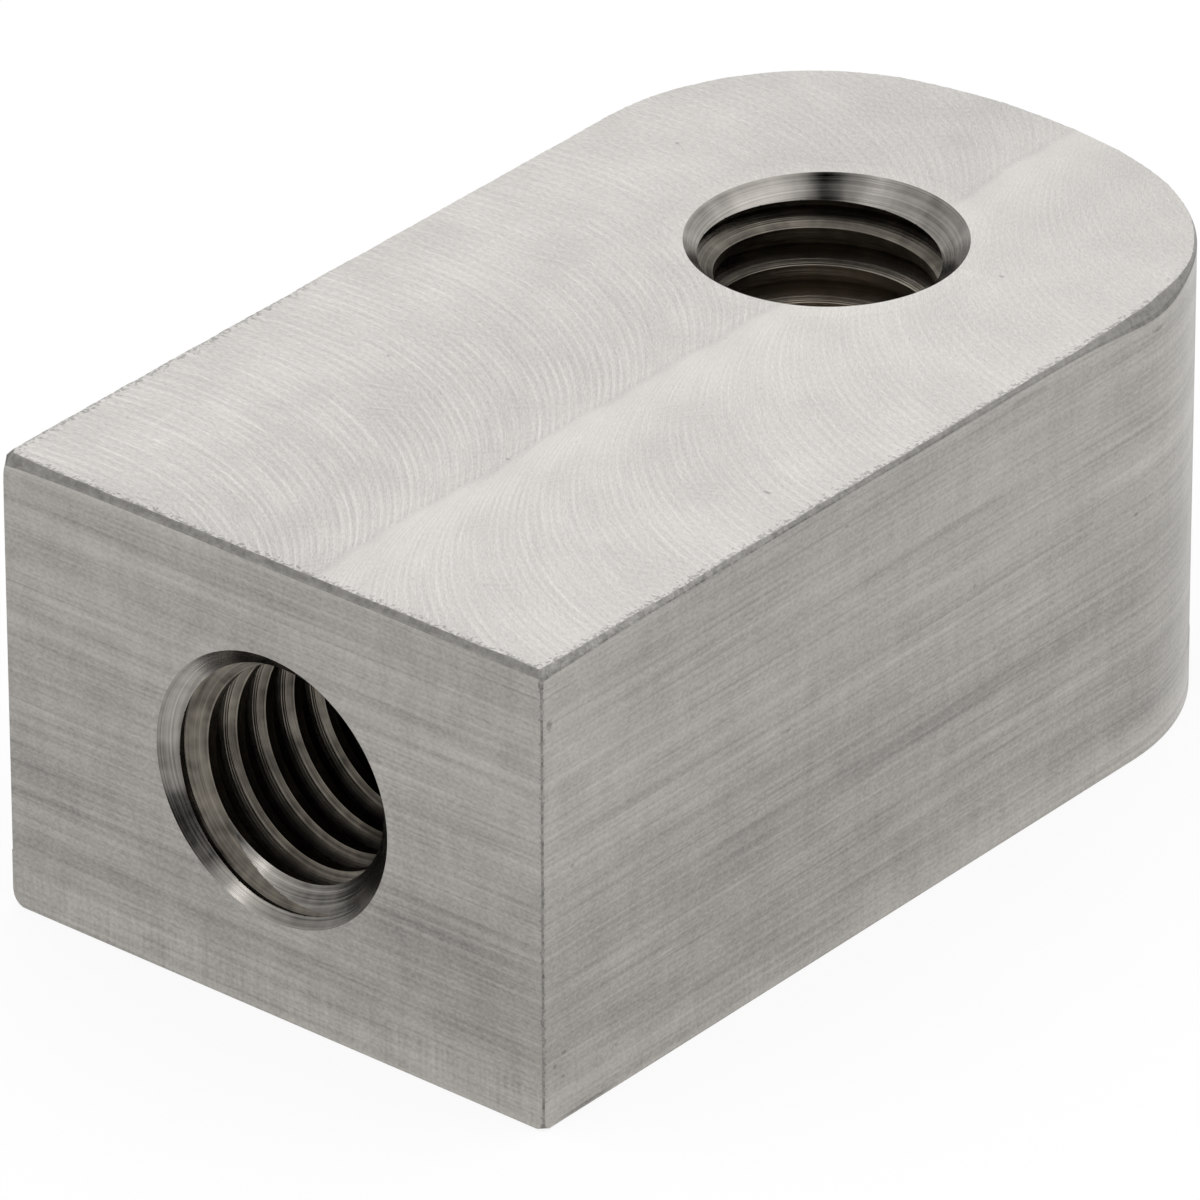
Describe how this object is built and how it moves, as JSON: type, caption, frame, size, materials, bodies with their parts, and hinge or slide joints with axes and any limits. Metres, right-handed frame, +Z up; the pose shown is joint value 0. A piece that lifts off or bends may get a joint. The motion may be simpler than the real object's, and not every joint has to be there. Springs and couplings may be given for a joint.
{
  "type": "machined mounting block",
  "caption": "Milled steel mounting block with a rounded end, tapped through its height and tapped blind into its flat front face.",
  "frame": {"origin": "on the underside, at the middle of the block's width and length", "axes": "+X across the width, +Y along the length from the flat front face to the rounded end, +Z up"},
  "size_m": [0.02, 0.0352, 0.0148],
  "materials": {
    "milled_stainless_steel": "face milled, with fine tool marks and lightly broken edges"
  },
  "bodies": {
    "root": {"mounting_block": "milled_stainless_steel"}
  },
  "joints": []
}
